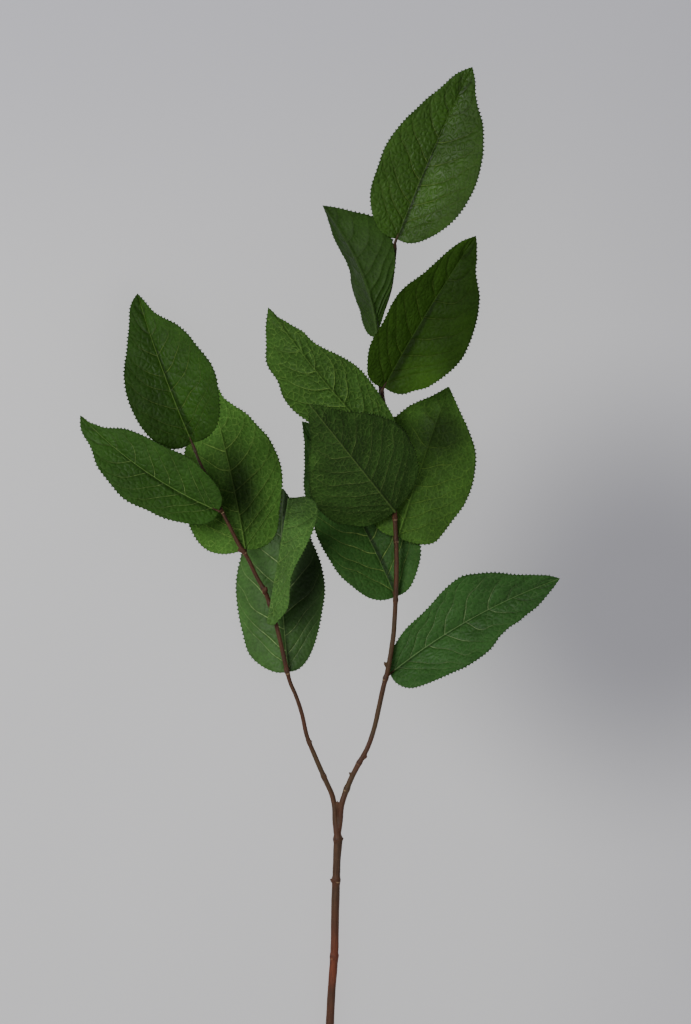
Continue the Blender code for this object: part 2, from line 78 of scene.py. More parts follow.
# root is where the petiole leaves the stem; base, bend and tip steer the midrib; roll turns the blade about
# it, 180 showing the underside; fold is the slope of each half in degrees; cup is how much more the margins
# rise; lobe is how far the lobes reach back past the base, as a share of the length; left and right are
# half widths seen from the upper face; waved lists the waves of the margin: half (0 left, 1 right), share
# of the length, reach as a share, mm outwards.
LEAVES = {
    "leaf_right_tip": dict(
        root=(39, 173, 17.8), base=(39.6, 178.3, 22), bend=(56, 222, 27), tip=(79, 267.5, 25), roll=(0, 0),
        fold=(15, 15), left=(13.5, 21.5, 24, 22.5, 16.5, 9, 4.5), right=(13.5, 23.5, 28, 27.5, 21, 9.5, 4),
        waved=((0, 0.68, 0.06, -0.6), (1, 0.33, 0.1, 0.7), (1, 0.75, 0.06, 0.7), (1, 0.89, 0.03, -0.5))),
    "leaf_right_folded": dict(
        root=(29, 121.5, 19.2), base=(29.5, 127.5, 22.8), bend=(27, 162.5, 21.5), tip=(1, 196.5, 16),
        roll=(180, 205, 216, 214, 205), fold=(32, 32), cup=0.1, left=(3, 6, 13, 18, 19.5, 10, 4),
        right=(6.5, 11, 17, 16, 14, 7.5, 2.5),
        waved=((0, 0.1, 0.05, -2.2), (0, 0.5, 0.12, 1.5), (0, 0.77, 0.05, 0.7), (1, 0.17, 0.05, 0.8),
               (1, 0.42, 0.07, 3))),
    "leaf_right_upper": dict(
        root=(31.9, 96, 19.2), base=(33, 101, 22.5), bend=(50, 133.5, 27), tip=(80.5, 179, 32),
        roll=(-20, -18, -8), fold=(20, 20), left=(14, 21, 22, 21.5, 14, 8, 4),
        right=(14, 22, 26.5, 26, 20, 9, 4.5),
        waved=((1, 0.08, 0.04, -1.5), (1, 0.33, 0.12, 1), (1, 0.76, 0.07, 0.9), (1, 0.93, 0.03, -0.8))),
    "leaf_middle_light": dict(
        root=(36.4, 63, 17.8), base=(34.8, 68.5, 22), bend=(7, 94.5, 30), tip=(-27, 141.5, 38),
        roll=(192, 192), fold=(14, 14), left=(11, 16, 18, 16, 8.5, 4, 1.5),
        right=(15, 22, 24.5, 25, 21.5, 12.5, 5),
        waved=((0, 0.42, 0.08, 0.5), (0, 0.79, 0.05, 1.3), (0, 0.93, 0.03, -0.8), (1, 0.36, 0.07, -2.2),
               (1, 0.65, 0.06, -2), (1, 0.78, 0.05, 1.2))),
    "leaf_middle_front": dict(
        root=(38.9, 32.5, 15.7), base=(38.5, 36.5, 19.5), bend=(19, 60, 62), tip=(-5, 89.5, 88),
        roll=(180, 180), fold=(14, 14), lobe=0.12, left=(19, 28, 31, 28, 19.5, 9, 4),
        right=(19, 28, 31, 26.5, 17.5, 8, 3.5)),
    "leaf_middle_right": dict(
        root=(39.6, 18, 14.8), base=(40.5, 23, 12), bend=(54, 65, 14), tip=(67.5, 102, -1.6),
        roll=(180, 180), fold=(6, 6), cup=0.02, lobe=0.09, left=(17, 24, 28.5, 28.5, 23, 12, 4.5),
        right=(14, 22, 27, 27, 22, 12, 4), waved=((0, 0.07, 0.04, 1), (0, 0.68, 0.08, 0.6))),
    "leaf_lower_middle": dict(
        root=(39.1, -14, 12.8), base=(39, -8.5, 9.5), bend=(21.5, 34.5, 0.5), tip=(-10, 84, 1),
        roll=(-9, -9), fold=(12, 12), cup=0.04, lobe=0.045, left=(14, 21.5, 26, 24, 18.5, 8, 3),
        right=(13, 21.5, 26, 25, 18.5, 9, 5),
        waved=((0, 0.2, 0.07, 0.9), (0, 0.78, 0.08, 0.8), (0, 0.9, 0.03, -0.4), (1, 0.17, 0.07, 1.2))),
    "leaf_right_low": dict(
        root=(33.9, -52.5, 10.6), base=(36.5, -49, 7), bend=(76.5, -16.5, 11), tip=(126, 1, 6),
        roll=(14, 9, 4), fold=(16, 16), left=(7, 13, 16.5, 21.5, 17, 8, 4),
        right=(13.5, 19.5, 22.5, 20, 12.6, 8.8, 3.6),
        waved=((0, 0.56, 0.05, 1.1), (0, 0.91, 0.04, -0.6), (1, 0.28, 0.06, -0.9), (1, 0.58, 0.04, -0.6),
               (1, 0.71, 0.05, 1.3))),
    "leaf_left_low": dict(
        root=(-16.4, -52.5, 11.4), base=(-17, -48, 8.5), bend=(-22.5, -5.5, 7.5), tip=(-20, 48.5, 2),
        roll=(0, 0), fold=(-10, -10), cup=-0.04, lobe=0.035, left=(13, 20.5, 23.8, 24, 19.5, 10, 4),
        right=(10.5, 17, 21.5, 22.5, 17, 9.5, 4),
        waved=((0, 0.13, 0.07, 1.8), (0, 0.4, 0.25, 0.5), (1, 0.62, 0.1, 0.5))),
    "leaf_left_back": dict(
        root=(-38.8, 12.5, 17), base=(-39.5, 16.5, 14.5), bend=(-47, 62, 9), tip=(-61, 107, -1.6),
        roll=(180, 180), fold=(6, 6), cup=0.02, lobe=0.075, left=(15, 21, 25.5, 25.5, 17.5, 7.5, 3.5),
        right=(19, 26.5, 28, 25.5, 18, 9, 4),
        waved=((0, 0.37, 0.08, 0.6), (0, 0.6, 0.08, 0.6), (0, 0.75, 0.06, 1.3), (0, 0.87, 0.04, -1))),
    "leaf_left_tip": dict(
        root=(-65, 67, 21.5), base=(-67, 72, 22), bend=(-83.5, 110.5, 34), tip=(-96, 150.5, 14),
        roll=(5, 6, 8), fold=(14, 14), left=(13, 20, 22, 19.5, 12.5, 7.5, 4),
        right=(15, 23, 27.5, 24, 16, 5, 2), waved=((0, 0.55, 0.3, 0.5), (1, 0.5, 0.2, -0.5))),
    "leaf_left_far": dict(
        root=(-51.8, 36.6, 19), base=(-53.6, 36.7, 21.2), bend=(-94, 54, 32), tip=(-125.5, 86.5, 19),
        roll=(2, 0), fold=(17, 17), left=(9, 14, 16.5, 17.5, 13.5, 7, 4),
        right=(10, 16.5, 19, 16.5, 12.5, 3.5, 1.2),
        waved=((0, 0.27, 0.08, 0.7), (0, 0.48, 0.08, 1.2), (0, 0.72, 0.07, 0.9), (1, 0.76, 0.07, 1.2),
               (1, 0.93, 0.03, -0.7))),
    "leaf_left_rolled": dict(
        root=(-24.5, -19.4, 14), base=(-26.8, -22.3, 18.8), bend=(-16, 40.9, 23), tip=(-15.5, 42.7, 75),
        roll=(250, 266, 262, 244, 228), fold=(30, 26, 37, 58, 80), left=(7, 14.5, 14.3, 14.8, 15, 13, 6.5),
        right=(2.5, 7, 12, 12, 7, 2.5, 0.8)),
}

# Looks of the upper and under faces. blade and veins are screen colours; mid, side and net are how plainly
# the midrib, the side veins and the net between them show; puff is how puffed the net's cells are. halves
# is painted light and shade on the left and right halves, and ends on the base, middle and tip. band is
# painted shade in the crease along the midrib: mm wide at the base, on the left when negative, and how
# light it is. The last key is a soft patch of painted shadow, or of painted highlight where it is lighter
# than 1: where along, mm across, its reach along and in mm across, and how light it is.
UPPER = dict(
    blade=(44, 74, 22), veins=(88, 116, 50), rough=0.5, sheen=0.18, mid=0.5, side=0.7, net=0.12, puff=0.8,
    halves=(1, 1), ends=(1, 1, 1), band=(2.4, 0.6), blot=(0.5, 0, 1, 10, 1))
UNDER = dict(
    blade=(58, 90, 32), veins=(104, 134, 64), rough=0.6, sheen=0.15, mid=0.6, side=0.6, net=0.4, puff=0.7,
    halves=(1, 1), ends=(1, 1, 1), band=(-2, 0.8), blot=(0.5, 0, 1, 10, 1))

# What differs on the face of each leaf that shows from above.
SHOWN = {
    "leaf_right_tip": dict(
        blade=(47, 77, 20), veins=(104, 132, 56), rough=0.46, mid=0.1, side=0.4, puff=0.9, halves=(1, 0.9),
        band=(3.2, 0.38), blot=(0.24, 6, 0.28, 10, 1.4)),
    "leaf_right_folded": dict(
        blade=(38, 63, 19), veins=(66, 90, 38), mid=0.15, side=0.4, net=0.15, puff=0.5,
        halves=(1.05, 0.85), ends=(1.2, 1, 1), band=(-2, 0.9)),
    "leaf_right_upper": dict(
        blade=(44, 71, 20), veins=(84, 110, 44), sheen=0.04, mid=0.15, side=0.5, puff=0.5, halves=(1, 0.62),
        ends=(1.3, 1, 1), band=(6, 0.5), blot=(0.17, 15, 0.26, 16, 1.5)),
    "leaf_middle_light": dict(
        blade=(53, 86, 30), veins=(116, 150, 70), mid=0.2, side=0.75, net=0.38, puff=1,
        ends=(0.82, 1, 1.06)),
    "leaf_middle_front": dict(
        blade=(48, 77, 30), veins=(96, 120, 62), rough=0.65, sheen=0.1, mid=0.5, side=0.7, puff=1,
        blot=(0.65, 22, 0.4, 12, 1.25)),
    "leaf_middle_right": dict(
        blade=(57, 90, 32), veins=(104, 138, 56), sheen=0.12, mid=0.2, net=0.28,
        halves=(0.95, 1.12), ends=(0.95, 1, 1), blot=(0.7, -5, 0.3, 25, 0.38)),
    "leaf_lower_middle": dict(
        blade=(46, 79, 34), veins=(136, 162, 86), sheen=0.08, mid=0.1, side=0.6, net=0.1, puff=0.6,
        halves=(0.97, 0.98), ends=(1, 1, 0.6), band=(4, 0.36)),
    "leaf_right_low": dict(
        blade=(43, 78, 32), veins=(126, 154, 98), sheen=0.12, mid=0.32, side=0.5, net=0.14, puff=0.6),
    "leaf_left_low": dict(
        blade=(57, 92, 40), veins=(134, 162, 98), rough=0.56, sheen=0.2, side=0.9, net=0.08, puff=0.45,
        halves=(1, 0.75), ends=(1, 1.04, 0.3), band=(2, 0.8), blot=(0.59, 14, 0.48, 16, 0.38)),
    "leaf_left_back": dict(
        blade=(54, 86, 33), veins=(112, 142, 70), sheen=0.05, mid=0.25, side=0.7, net=0.28, puff=0.9,
        halves=(0.88, 1), ends=(1.4, 0.95, 1.8), blot=(0.32, -3, 0.38, 16, 0.2)),
    "leaf_left_tip": dict(
        blade=(39, 69, 17), veins=(98, 126, 56), sheen=0.12, mid=0.4, side=0.5, puff=0.7,
        halves=(0.76, 1.06), band=(5, 0.5)),
    "leaf_left_far": dict(
        blade=(42, 73, 23), veins=(112, 142, 74), sheen=0.12, mid=0.35, side=0.6, puff=0.7,
        ends=(1.15, 1, 1), band=(-4, 0.66)),
    "leaf_left_rolled": dict(
        blade=(60, 95, 40), veins=(112, 146, 74), mid=0.05, side=0.5, net=0.45, puff=1, band=(-1, 1)),
}

# These leaves cast no shadow, so that the blades and twig behind them stay light.
UNSHADING = ("leaf_left_tip", "leaf_left_back")

# Centre lines: x, y, z and radius. The main stem runs on into the left branch.
MAIN = [
    (4.6, -275, 2.3, 2.15), (4.8, -234, 3, 2.1), (5.7, -216, 3.6, 2.1), (7.1, -197, 4.3, 2.1),
    (7.5, -176, 5, 2.1), (8.5, -146, 6.2, 2.05), (8.9, -135, 6.8, 2.1), (8.2, -130.5, 7, 1.65),
    (7.6, -127, 7.1, 1.45), (7.1, -118.2, 7.3, 1.45), (6.2, -113.8, 7.5, 1.5), (2.2, -104.5, 7.9, 1.5),
    (-3.2, -92, 8.5, 1.45), (-7.2, -82, 9.2, 1.35),
    (-9.9, -70, 10, 1.25), (-13.2, -60, 10.9, 1.25), (-16.2, -53, 11.4, 1.25), (-18, -46, 11.9, 1.3),
    (-20, -37, 12.6, 1.3), (-23, -24.3, 13.6, 1.3), (-26, -14, 14.5, 1.3), (-29.2, -5.5, 15.3, 1.3),
    (-33.3, 1.8, 16, 1.25), (-38.5, 12.5, 17, 1.2), (-42.6, 18.8, 17.6, 1.2), (-47.5, 28.5, 18.3, 1.1),
    (-51.8, 37, 19, 1.05), (-58.5, 53, 20.3, 0.95), (-62.8, 61.5, 21, 0.9), (-65.4, 68, 21.6, 0.85)]
RIGHT = [
    (9.4, -133.5, 7, 1.2), (10.1, -127, 7.1, 1.45), (10.9, -118.2, 7.4, 1.6), (12.2, -113.8, 7.6, 1.7),
    (15.6, -105, 8, 1.7),
    (19.6, -97, 8.5, 1.6), (24.3, -88.5, 8.9, 1.5), (28, -78, 9.2, 1.5), (30.6, -66.5, 9.7, 1.5),
    (33, -55.5, 10.4, 1.5), (35.3, -46.3, 11, 1.5), (37, -36.5, 11.6, 1.45), (38.2, -28, 12.1, 1.45),
    (38.8, -19, 12.6, 1.45), (39.4, -6.5, 13.2, 1.45), (39.7, 4.5, 13.9, 1.45), (39.7, 15, 14.6, 1.4),
    (39.2, 26, 15.3, 1.4), (38.6, 37, 16, 1.4), (36.2, 66, 18, 1.35), (33, 92.4, 19, 1.35),
    (31.7, 99.2, 19.3, 1.35), (30.5, 107.5, 19.4, 1.25), (28.9, 123, 19.2, 1.15), (30, 134.5, 18.5, 1.1),
    (33.6, 143.5, 17.8, 1.05), (36.6, 153, 17.2, 1), (38.2, 165, 16.8, 0.95), (39.2, 174.5, 18, 0.9)]

# Rings round the stem where a leaf or a bud sits: x, y and how much thicker, as a share.
RINGS = {
    "main": [(8.6, -158, 0.16), (8.8, -136, 0.2), (7.1, -198, 0.12), (1.5, -103, 0.2), (-6, -85, 0.15),
             (-17.5, -48, 0.3), (-27, -12, 0.35), (-30, -4, 0.2), (-40.5, 15.5, 0.35), (-52, 37, 0.25)],
    "right": [(13.6, -109.5, 0.2), (20, -96, 0.15), (34, -51, 0.3), (39.3, -10, 0.25), (39.4, 21, 0.25),
              (38.8, 33, 0.2), (35.8, 62, 0.2), (31.8, 98.5, 0.25), (29.3, 126, 0.2)]}

# Buds and short spurs: the point on the centre line, the way it leans, how long and how thick.
BUDS = [
    ((8.8, -138, 6.6), (0.9, 0.7, 0.2), 4.2, 1.15), ((7.5, -160, 5.6), (-0.8, 0.9, 0.3), 4.2, 0.9),
    ((7, -200, 4.2), (0.8, 0.8, 0.3), 3.8, 0.9), ((9.1, -121, 7.3), (-0.05, 1, 0.25), 5.6, 0.75),
    ((17.2, -103.5, 8.2), (-0.7, 0.8, 0.3), 4, 0.9), ((21.7, -93.6, 8.7), (1, 0.45, 0.25), 3.2, 1),
    ((35, -45.5, 11), (-0.6, 1, 0.4), 3.8, 0.95), ((1.8, -104.5, 8), (-0.3, 1, 0.5), 3.8, 0.95),
    ((-6.7, -86.5, 9), (0.7, 0.8, 0.3), 3.4, 0.9), ((-17.6, -48, 11.8), (-0.7, 0.8, 0.3), 2.8, 0.95),
    ((-29.6, -7, 15.3), (0.35, 1, 0.5), 4.6, 1.35), ((-41, 15.5, 17.4), (-0.8, 0.2, 0.3), 3, 0.95)]


# Lines and blades

def unit(v):
    return v / np.linalg.norm(v, axis=-1, keepdims=True)


def smooth(t, at, values):
    """Smooth line through values given at the stations."""
    at = np.asarray(at, float)
    values = np.asarray(values, float)
    i = np.clip(np.searchsorted(at, t) - 1, 0, len(at) - 2)
    slope = np.gradient(values, at, axis=0)
    h = at[i + 1] - at[i]
    x = np.clip((t - at[i]) / h, 0, 1)
    if values.ndim > 1:
        h, x = h[..., None], x[..., None]
    return ((2 * x ** 3 - 3 * x ** 2 + 1) * values[i] + (x ** 3 - 2 * x ** 2 + x) * h * slope[i]
            + (3 * x ** 2 - 2 * x ** 3) * values[i + 1] + (x ** 3 - x ** 2) * h * slope[i + 1])


def spread(t, values):
    """Smooth line through values spaced evenly from 0 to 1."""
    return smooth(t, np.linspace(0, 1, len(values)), values)


def oval(t):
    """Plain ovate half outline: half width over its greatest, t from 0 at the base to 1 at the tip."""
    t = np.clip(t, 0, 1)
    low = np.sqrt(np.clip(1 - ((BELLY - t) / BELLY) ** 2, 0, 1))
    s = np.clip((t - BELLY) / (1 - BELLY), 0, 1)
    return np.where(t < BELLY, low, 1 - s ** 1.75)


def eased(count):
    """Shares from 0 to 1 that lie closer near both ends."""
    return (1 - np.cos(np.linspace(0, math.pi, count))) / 2


def run_of(line):
    """Distance along a line of points."""
    return np.concatenate([[0], np.cumsum(np.linalg.norm(np.diff(line, axis=0), axis=1))])


class Blade:
    """A leaf blade: its flat outline and the way the flat blade is carried into space."""

    def __init__(self, root, base, bend, tip, roll, fold, left, right, cup=0.06, lobe=0.06, waved=()):
        self.root, self.base, self.bend, self.tip = (np.array(v, float) for v in (root, base, bend, tip))
        self.roll, self.fold, self.cup, self.lobe = roll, fold, cup, lobe
        self.halves, self.waved = (left, right), waved
        self.widest = max(max(left), max(right))
        self.u = np.linspace(0, 1, 201)
        run = run_of(self.curve(self.u))
        self.length = run[-1]
        self.share = run / run[-1]

    def curve(self, u):
        u = np.asarray(u, float)[..., None]
        return (1 - u) ** 2 * self.base + 2 * u * (1 - u) * self.bend + u ** 2 * self.tip

    def along(self, u):
        u = np.asarray(u, float)[..., None]
        return unit((1 - u) * (self.bend - self.base) + u * (self.tip - self.bend))

    def half_width(self, t, side):
        """Half width in mm; side 0 is the left half, 1 the right."""
        t = np.clip(t, 0, 1)
        wide = smooth(t, STATIONS, np.array(self.halves[side], float) / oval(STATIONS)) * oval(t)
        own = [wave[1:] for wave in self.waved if wave[0] == side]
        return wide + sum(by * np.exp(-((t - share) / long) ** 2) for share, long, by in own)

    def margin(self, side, t):
        """Flat margin of one half: mm along from the base, mm across with the left half negative."""
        wide = self.half_width(t, side)
        back = self.lobe * wide / max(self.halves[side]) * np.clip(1 - t / BELLY, 0, 1) ** 2
        return np.stack([(t - back) * self.length, wide * (1, -1)[side == 0]], -1)

    def place(self, flat):
        """Points in space for flat points (mm along, mm across)."""
        t = flat[..., 0] / self.length
        across = flat[..., 1]
        inside = np.clip(t, 0, 1)
        u = np.interp(inside, self.share, self.u)
        tangent = self.along(u)
        level = unit(np.cross(tangent, np.array([0, 0, 1.0])))
        up = np.cross(level, tangent)
        roll = np.radians(spread(inside, self.roll))[..., None]
        side = np.cos(roll) * level + np.sin(roll) * up
        face = np.cos(roll) * up - np.sin(roll) * level
        fold = np.radians(spread(inside, self.fold))
        rise = np.abs(across) * np.sin(fold) + self.cup * across ** 2 / self.widest
        return (self.curve(u) + tangent * ((t - inside) * self.length)[..., None]
                + side * (across * np.cos(fold))[..., None] + face * rise[..., None])

    def facing(self, flat):
        """Unit vectors square to the blade, out of its upper face."""
        d = 0.4
        along = self.place(flat + (d, 0)) - self.place(flat - (d, 0))
        across = self.place(flat + (0, d)) - self.place(flat - (0, d))
        return unit(np.cross(across, along))


def waves(rng, count, longest):
    """A smooth random field of two numbers, about -1 to 1, as a function."""
    turn = rng.uniform(0, 2 * math.pi, (count, 2))
    pace = 2 * math.pi / (longest * rng.uniform(0.5, 1, count))
    way = np.stack([np.cos(turn[:, 0]), np.sin(turn[:, 0])], -1) * pace[:, None]
    share = 1 / math.sqrt(count)
    return lambda x, y: share * sum(np.sin(x * w[0] + y * w[1] + s[1]) for w, s in zip(way, turn))


def crinkle(rng, x, y):
    """Puffed cells about 4 mm wide with narrow valleys between them, 0 to 1."""
    size, repeat = 4.0, 64
    x = x / size + 0.25 * waves(rng, 4, 14)(x, y)
    y = y / size + 0.25 * waves(rng, 4, 14)(x * size, y)
    jitter = rng.uniform(0.1, 0.9, (repeat, repeat, 2))
    column, row = np.floor(x).astype(int), np.floor(y).astype(int)
    gaps = []
    for i in (-1, 0, 1):
        for j in (-1, 0, 1):
            spot = jitter[(column + i) % repeat, (row + j) % repeat]
            gaps.append(np.hypot(column + i + spot[..., 0] - x, row + j + spot[..., 1] - y))
    gaps = np.sort(gaps, axis=0)
    edge = np.clip((gaps[1] - gaps[0]) / 0.55, 0, 1)
    return edge * (2 - edge)


def toothed(blade, side, teeth, rng):
    """Margin points of one half at every row, without and with teeth."""
    line = blade.margin(side, eased(1200))
    run = run_of(line)
    share = row_shares(teeth)
    behind, plain, ahead = (
        np.stack([np.interp(share * run[-1] + step, run, line[:, i]) for i in (0, 1)], -1)
        for step in (-0.4, 0, 0.4))
    way = unit(ahead - behind)
    outward = np.stack([-way[:, 1], way[:, 0]], -1) * (1, -1)[side == 1]
    size = np.repeat(rng.uniform(0.7, 1.15, teeth), len(TOOTH_ROWS))[1:]
    out = np.tile([o for _, o in TOOTH_ROWS], teeth)[1:]
    ends = np.clip(np.minimum(share * teeth / 3, (1 - share) * teeth / 2), 0.25, 1)
    return plain, plain + outward * (TOOTH * size * out * ends)[:, None]


def row_shares(teeth):
    """Shares of the way along the margin at every row; the first notch is the base itself."""
    return np.array([(k + shift) / teeth for k in range(teeth) for shift, _ in TOOTH_ROWS])[1:]


def vein_phase(t, r, rng):
    """Side veins passed so far, whole at a vein, at shares t of the length and r of the half width."""
    starts = np.array(VEINS) + rng.uniform(-0.018, 0.018, len(VEINS)) + rng.uniform(-0.02, 0.02)
    turned = VEIN_EVEN * r + (1 - VEIN_EVEN) * r ** VEIN_TURN
    start = (t - VEIN_REACH * turned) / (1 - 0.1 * turned)
    marks = np.concatenate([[-0.45], np.arange(len(VEINS)), [len(VEINS) - 0.55]])
    return np.interp(start, np.concatenate([[starts[0] - 0.05], starts, [1.02]]), marks)


def leaf_grid(blade, teeth, rng):
    """Flat points of a blade in rows out from its midrib, and each column's share of the half width."""
    share = row_shares(teeth)
    start = smooth(share, ROW_ENDS, ROW_STARTS) * blade.length
    x = np.linspace(0, 1, HALF_COLUMNS + 1)
    outward = x - 0.05 * np.sin(2 * math.pi * x)
    columns = np.concatenate([-outward[:0:-1], outward])
    flat = np.zeros((len(share), len(columns), 2))
    for side, half in enumerate((slice(0, HALF_COLUMNS + 1), slice(HALF_COLUMNS, len(columns)))):
        plain, cut = toothed(blade, side, teeth, rng)
        r = np.abs(columns[half])
        edge = np.where((r > 0.999)[None, :, None], cut[:, None, :], plain[:, None, :])
        flat[:, half, 0] = start[:, None] * (1 - r ** ROW_CURVE) + edge[..., 0] * r ** ROW_CURVE
        flat[:, half, 1] = edge[..., 1] * r
    return flat, columns


def side_veins(blade, flat, wander, rng):
    """Side veins passed so far at every point, counted for the left half and for the right."""
    t = flat[..., 0] / blade.length
    phase = []
    for side in (0, 1):
        wide = np.maximum(blade.half_width(t, side), 0.5)
        reach = np.clip(np.abs(flat[..., 1]) / wide, 0, 1)
        bend = 0.15 * wander(flat[..., 0], flat[..., 1]) * reach ** 0.7
        phase.append(vein_phase(t, reach, rng) + bend)
    return phase


def leaf_relief(blade, flat, columns, phase, puff, rng):
    """How far the blade rises square to itself, and how far its ribs stand out below, in mm."""
    x, y = flat[..., 0], flat[..., 1]
    across = np.abs(y)
    r = np.abs(columns)[None, :]
    t = np.clip(x / blade.length, 0, 1)
    own = np.where(columns[None, :] < 0, phase[0], phase[1])
    away = np.abs(own - np.round(own)) * (0.12 * blade.length)
    rib = np.exp(-(across / 0.7) ** 2)
    crease = np.exp(-across / 2.2) * (1 - t)
    side_rib = np.exp(-(away / 0.9) ** 2) * (1 - 0.6 * r) * (1 - np.exp(-(across / 0.8) ** 2))
    panel = (1 - np.cos(2 * math.pi * own)) / 2 * np.sin(math.pi * np.clip(r, 0, 1)) ** 0.7
    ripple = waves(rng, 6, 30)(x, y) * r ** 2
    swell = waves(rng, 6, 14)(x, y) * np.sin(math.pi * r) ** 0.5
    cells = puff * crinkle(rng, x, y) * (1 - r ** 8) * (1 - rib)
    rise = (PANEL * panel + RIPPLE * ripple + SWELL * swell + CELLS * cells
            - RIB_SINK * rib - CREASE_SINK * crease - VEIN_SINK * side_rib)
    return rise, RIB_BELOW * (1 - 0.75 * t) * rib + VEIN_BELOW * (1 - 0.5 * t) * side_rib


def leaf_faces(rows, wide):
    """Faces of a closed blade, the half of the blade each lies in, and 1 for those below or on the rim.

    Its points are the upper ones row by row, the lower ones likewise, the base and the tip.
    """
    n = rows * wide
    ids = np.arange(n).reshape(rows, wide)
    upper = np.stack([ids[:-1, :-1], ids[:-1, 1:], ids[1:, 1:], ids[1:, :-1]], -1).reshape(-1, 4)
    halves = np.repeat((0, 1), HALF_COLUMNS)
    faces = [*map(tuple, upper), *map(tuple, upper[:, ::-1] + n)]
    sides = list(np.tile(halves, 2 * (rows - 1)))
    under = [0] * len(upper) + [1] * len(upper)
    for side, column in enumerate((0, wide - 1)):
        a, b = ids[:-1, column], ids[1:, column]
        rim = np.stack([a, a + n, b + n, b] if side else [a, b, b + n, a + n], -1)
        faces += map(tuple, rim)
        sides += [side] * len(rim)
        under += [1] * len(rim)
    for row, apex in ((0, 2 * n), (rows - 1, 2 * n + 1)):
        pairs = [(ids[row, k] + low * n, ids[row, k + 1] + low * n, (row == 0) == (low == 0), side, low)
                 for low in (0, 1) for k, side in enumerate(halves)]
        pairs += [(ids[row, k], ids[row, k] + n, (row == 0) != (k == 0), int(k > 0), 1)
                  for k in (0, wide - 1)]
        for a, b, turned, side, low in pairs:
            faces.append((b, a, apex) if turned else (a, b, apex))
            sides.append(side)
            under.append(low)
    return faces, sides, under


def mark_blade(mesh, flat, columns, phase, length, sides):
    """Marks corners with the veins passed, mm along and mm across, and points with their reach outwards."""
    tables = []
    for passed in phase:
        one = np.stack([passed.ravel(), flat[..., 0].ravel(), flat[..., 1].ravel()], -1)
        ends = [(passed[0].mean(), 0, 0), (passed[-1].mean(), length, 0)]
        tables.append(np.concatenate([one, one, ends]))
    corner = np.zeros(len(mesh.loops), dtype=np.int32)
    mesh.loops.foreach_get("vertex_index", corner)
    totals = np.zeros(len(sides), dtype=np.int32)
    mesh.polygons.foreach_get("loop_total", totals)
    left = np.repeat(np.array(sides), totals)[:, None] == 0
    vein = np.where(left, tables[0][corner], tables[1][corner]).astype(np.float32)
    mesh.attributes.new("vein", "FLOAT_VECTOR", "CORNER").data.foreach_set("vector", vein.ravel())
    reach = np.concatenate([np.tile(np.abs(columns), 2 * len(flat)), (0, 0)]).astype(np.float32)
    mesh.attributes.new("reach", "FLOAT", "POINT").data.foreach_set("value", reach)


def leaf_mesh(name, spec, number, puff):
    """One closed blade with both faces, a toothed margin, ribs and puffed panels, and its length in mm."""
    rng = np.random.default_rng(100 + number)
    blade = Blade(**spec)
    teeth = int(round(run_of(blade.margin(1, eased(600)))[-1] / TOOTH_PITCH))
    wander = waves(rng, 5, 26)
    flat, columns = leaf_grid(blade, teeth, rng)
    phase = side_veins(blade, flat, wander, rng)
    rise, below = leaf_relief(blade, flat, columns, phase, puff, rng)
    thick = BLADE * (1 - 0.6 * np.abs(columns)[None, :] ** 6)
    centre, facing = blade.place(flat), blade.facing(flat)
    top = centre + facing * (thick / 2 + rise)[..., None]
    bottom = centre + facing * (rise - thick / 2 - below)[..., None]
    table_clear(top, bottom)
    ends = [blade.place(np.array([[at, 0.0]]))[0] for at in (0.0, blade.length)]
    for end in ends:
        end[2] = max(end[2], END_FLOOR)
    faces, sides, under = leaf_faces(*flat.shape[:2])
    leaf = solid(name, np.concatenate([top.reshape(-1, 3), bottom.reshape(-1, 3), ends]), faces)
    leaf.data.polygons.foreach_set("material_index", np.array(under, dtype=np.int32))
    leaf.data.shade_smooth()
    mark_blade(leaf.data, flat, columns, phase, blade.length, sides)
    return leaf, blade.length


def table_clear(top, bottom):
    """Lifts what would go below the table."""
    thin = 0.2
    top_low = top[..., 2] < bottom[..., 2]
    top[..., 2] = np.maximum(top[..., 2], np.where(top_low, FLOOR, FLOOR + thin))
    bottom[..., 2] = np.maximum(bottom[..., 2], np.where(top_low, FLOOR + thin, FLOOR))


def to_row(points):
    """Metres in the frame for millimetres in the lists."""
    return (np.asarray(points, float) - (*CENTRE, 0)) * MM


def solid(name, points, faces):
    """A new object in the scene from points in millimetres and faces."""
    mesh = bpy.data.meshes.new(name)
    mesh.from_pydata([tuple(p) for p in to_row(points)], [], faces)
    mesh.update()
    made = bpy.data.objects.new(name, mesh)
    bpy.context.scene.collection.objects.link(made)
    return made


# Stem

def tube(route, sides):
    """Points and faces of a closed tube along centre points with their radii."""
    route = np.asarray(route, float)
    centre, radius = route[:, :3], route[:, 3]
    way = unit(np.gradient(centre, axis=0))
    lean = np.array([0, 0, 1.0]) if abs(way[0][2]) < 0.8 else np.array([1.0, 0, 0])
    points = []
    for c, w, r in zip(centre, way, radius):
        lean = unit(lean - w * np.dot(lean, w))
        other = np.cross(w, lean)
        for k in range(sides):
            turn = 2 * math.pi * k / sides
            points.append(c + r * (math.cos(turn) * lean + math.sin(turn) * other))
    faces = []
    for i in range(len(centre) - 1):
        for k in range(sides):
            a, b = i * sides + k, i * sides + (k + 1) % sides
            faces.append((a, b, b + sides, a + sides))
    faces.append(tuple(range(sides))[::-1])
    last = (len(centre) - 1) * sides
    faces.append(tuple(range(last, last + sides)))
    return points, faces


def fine_route(stations, step):
    stations = np.array(stations, float)
    run = run_of(stations[:, :3])
    places = np.linspace(0, run[-1], max(int(run[-1] / step), 4))
    return smooth(places, run, stations)


def ring_run(line, run, x, y):
    """How far along its line the ring at x, y sits."""
    return run[np.argmin((line[:, 0] - x) ** 2 + (line[:, 1] - y) ** 2)]


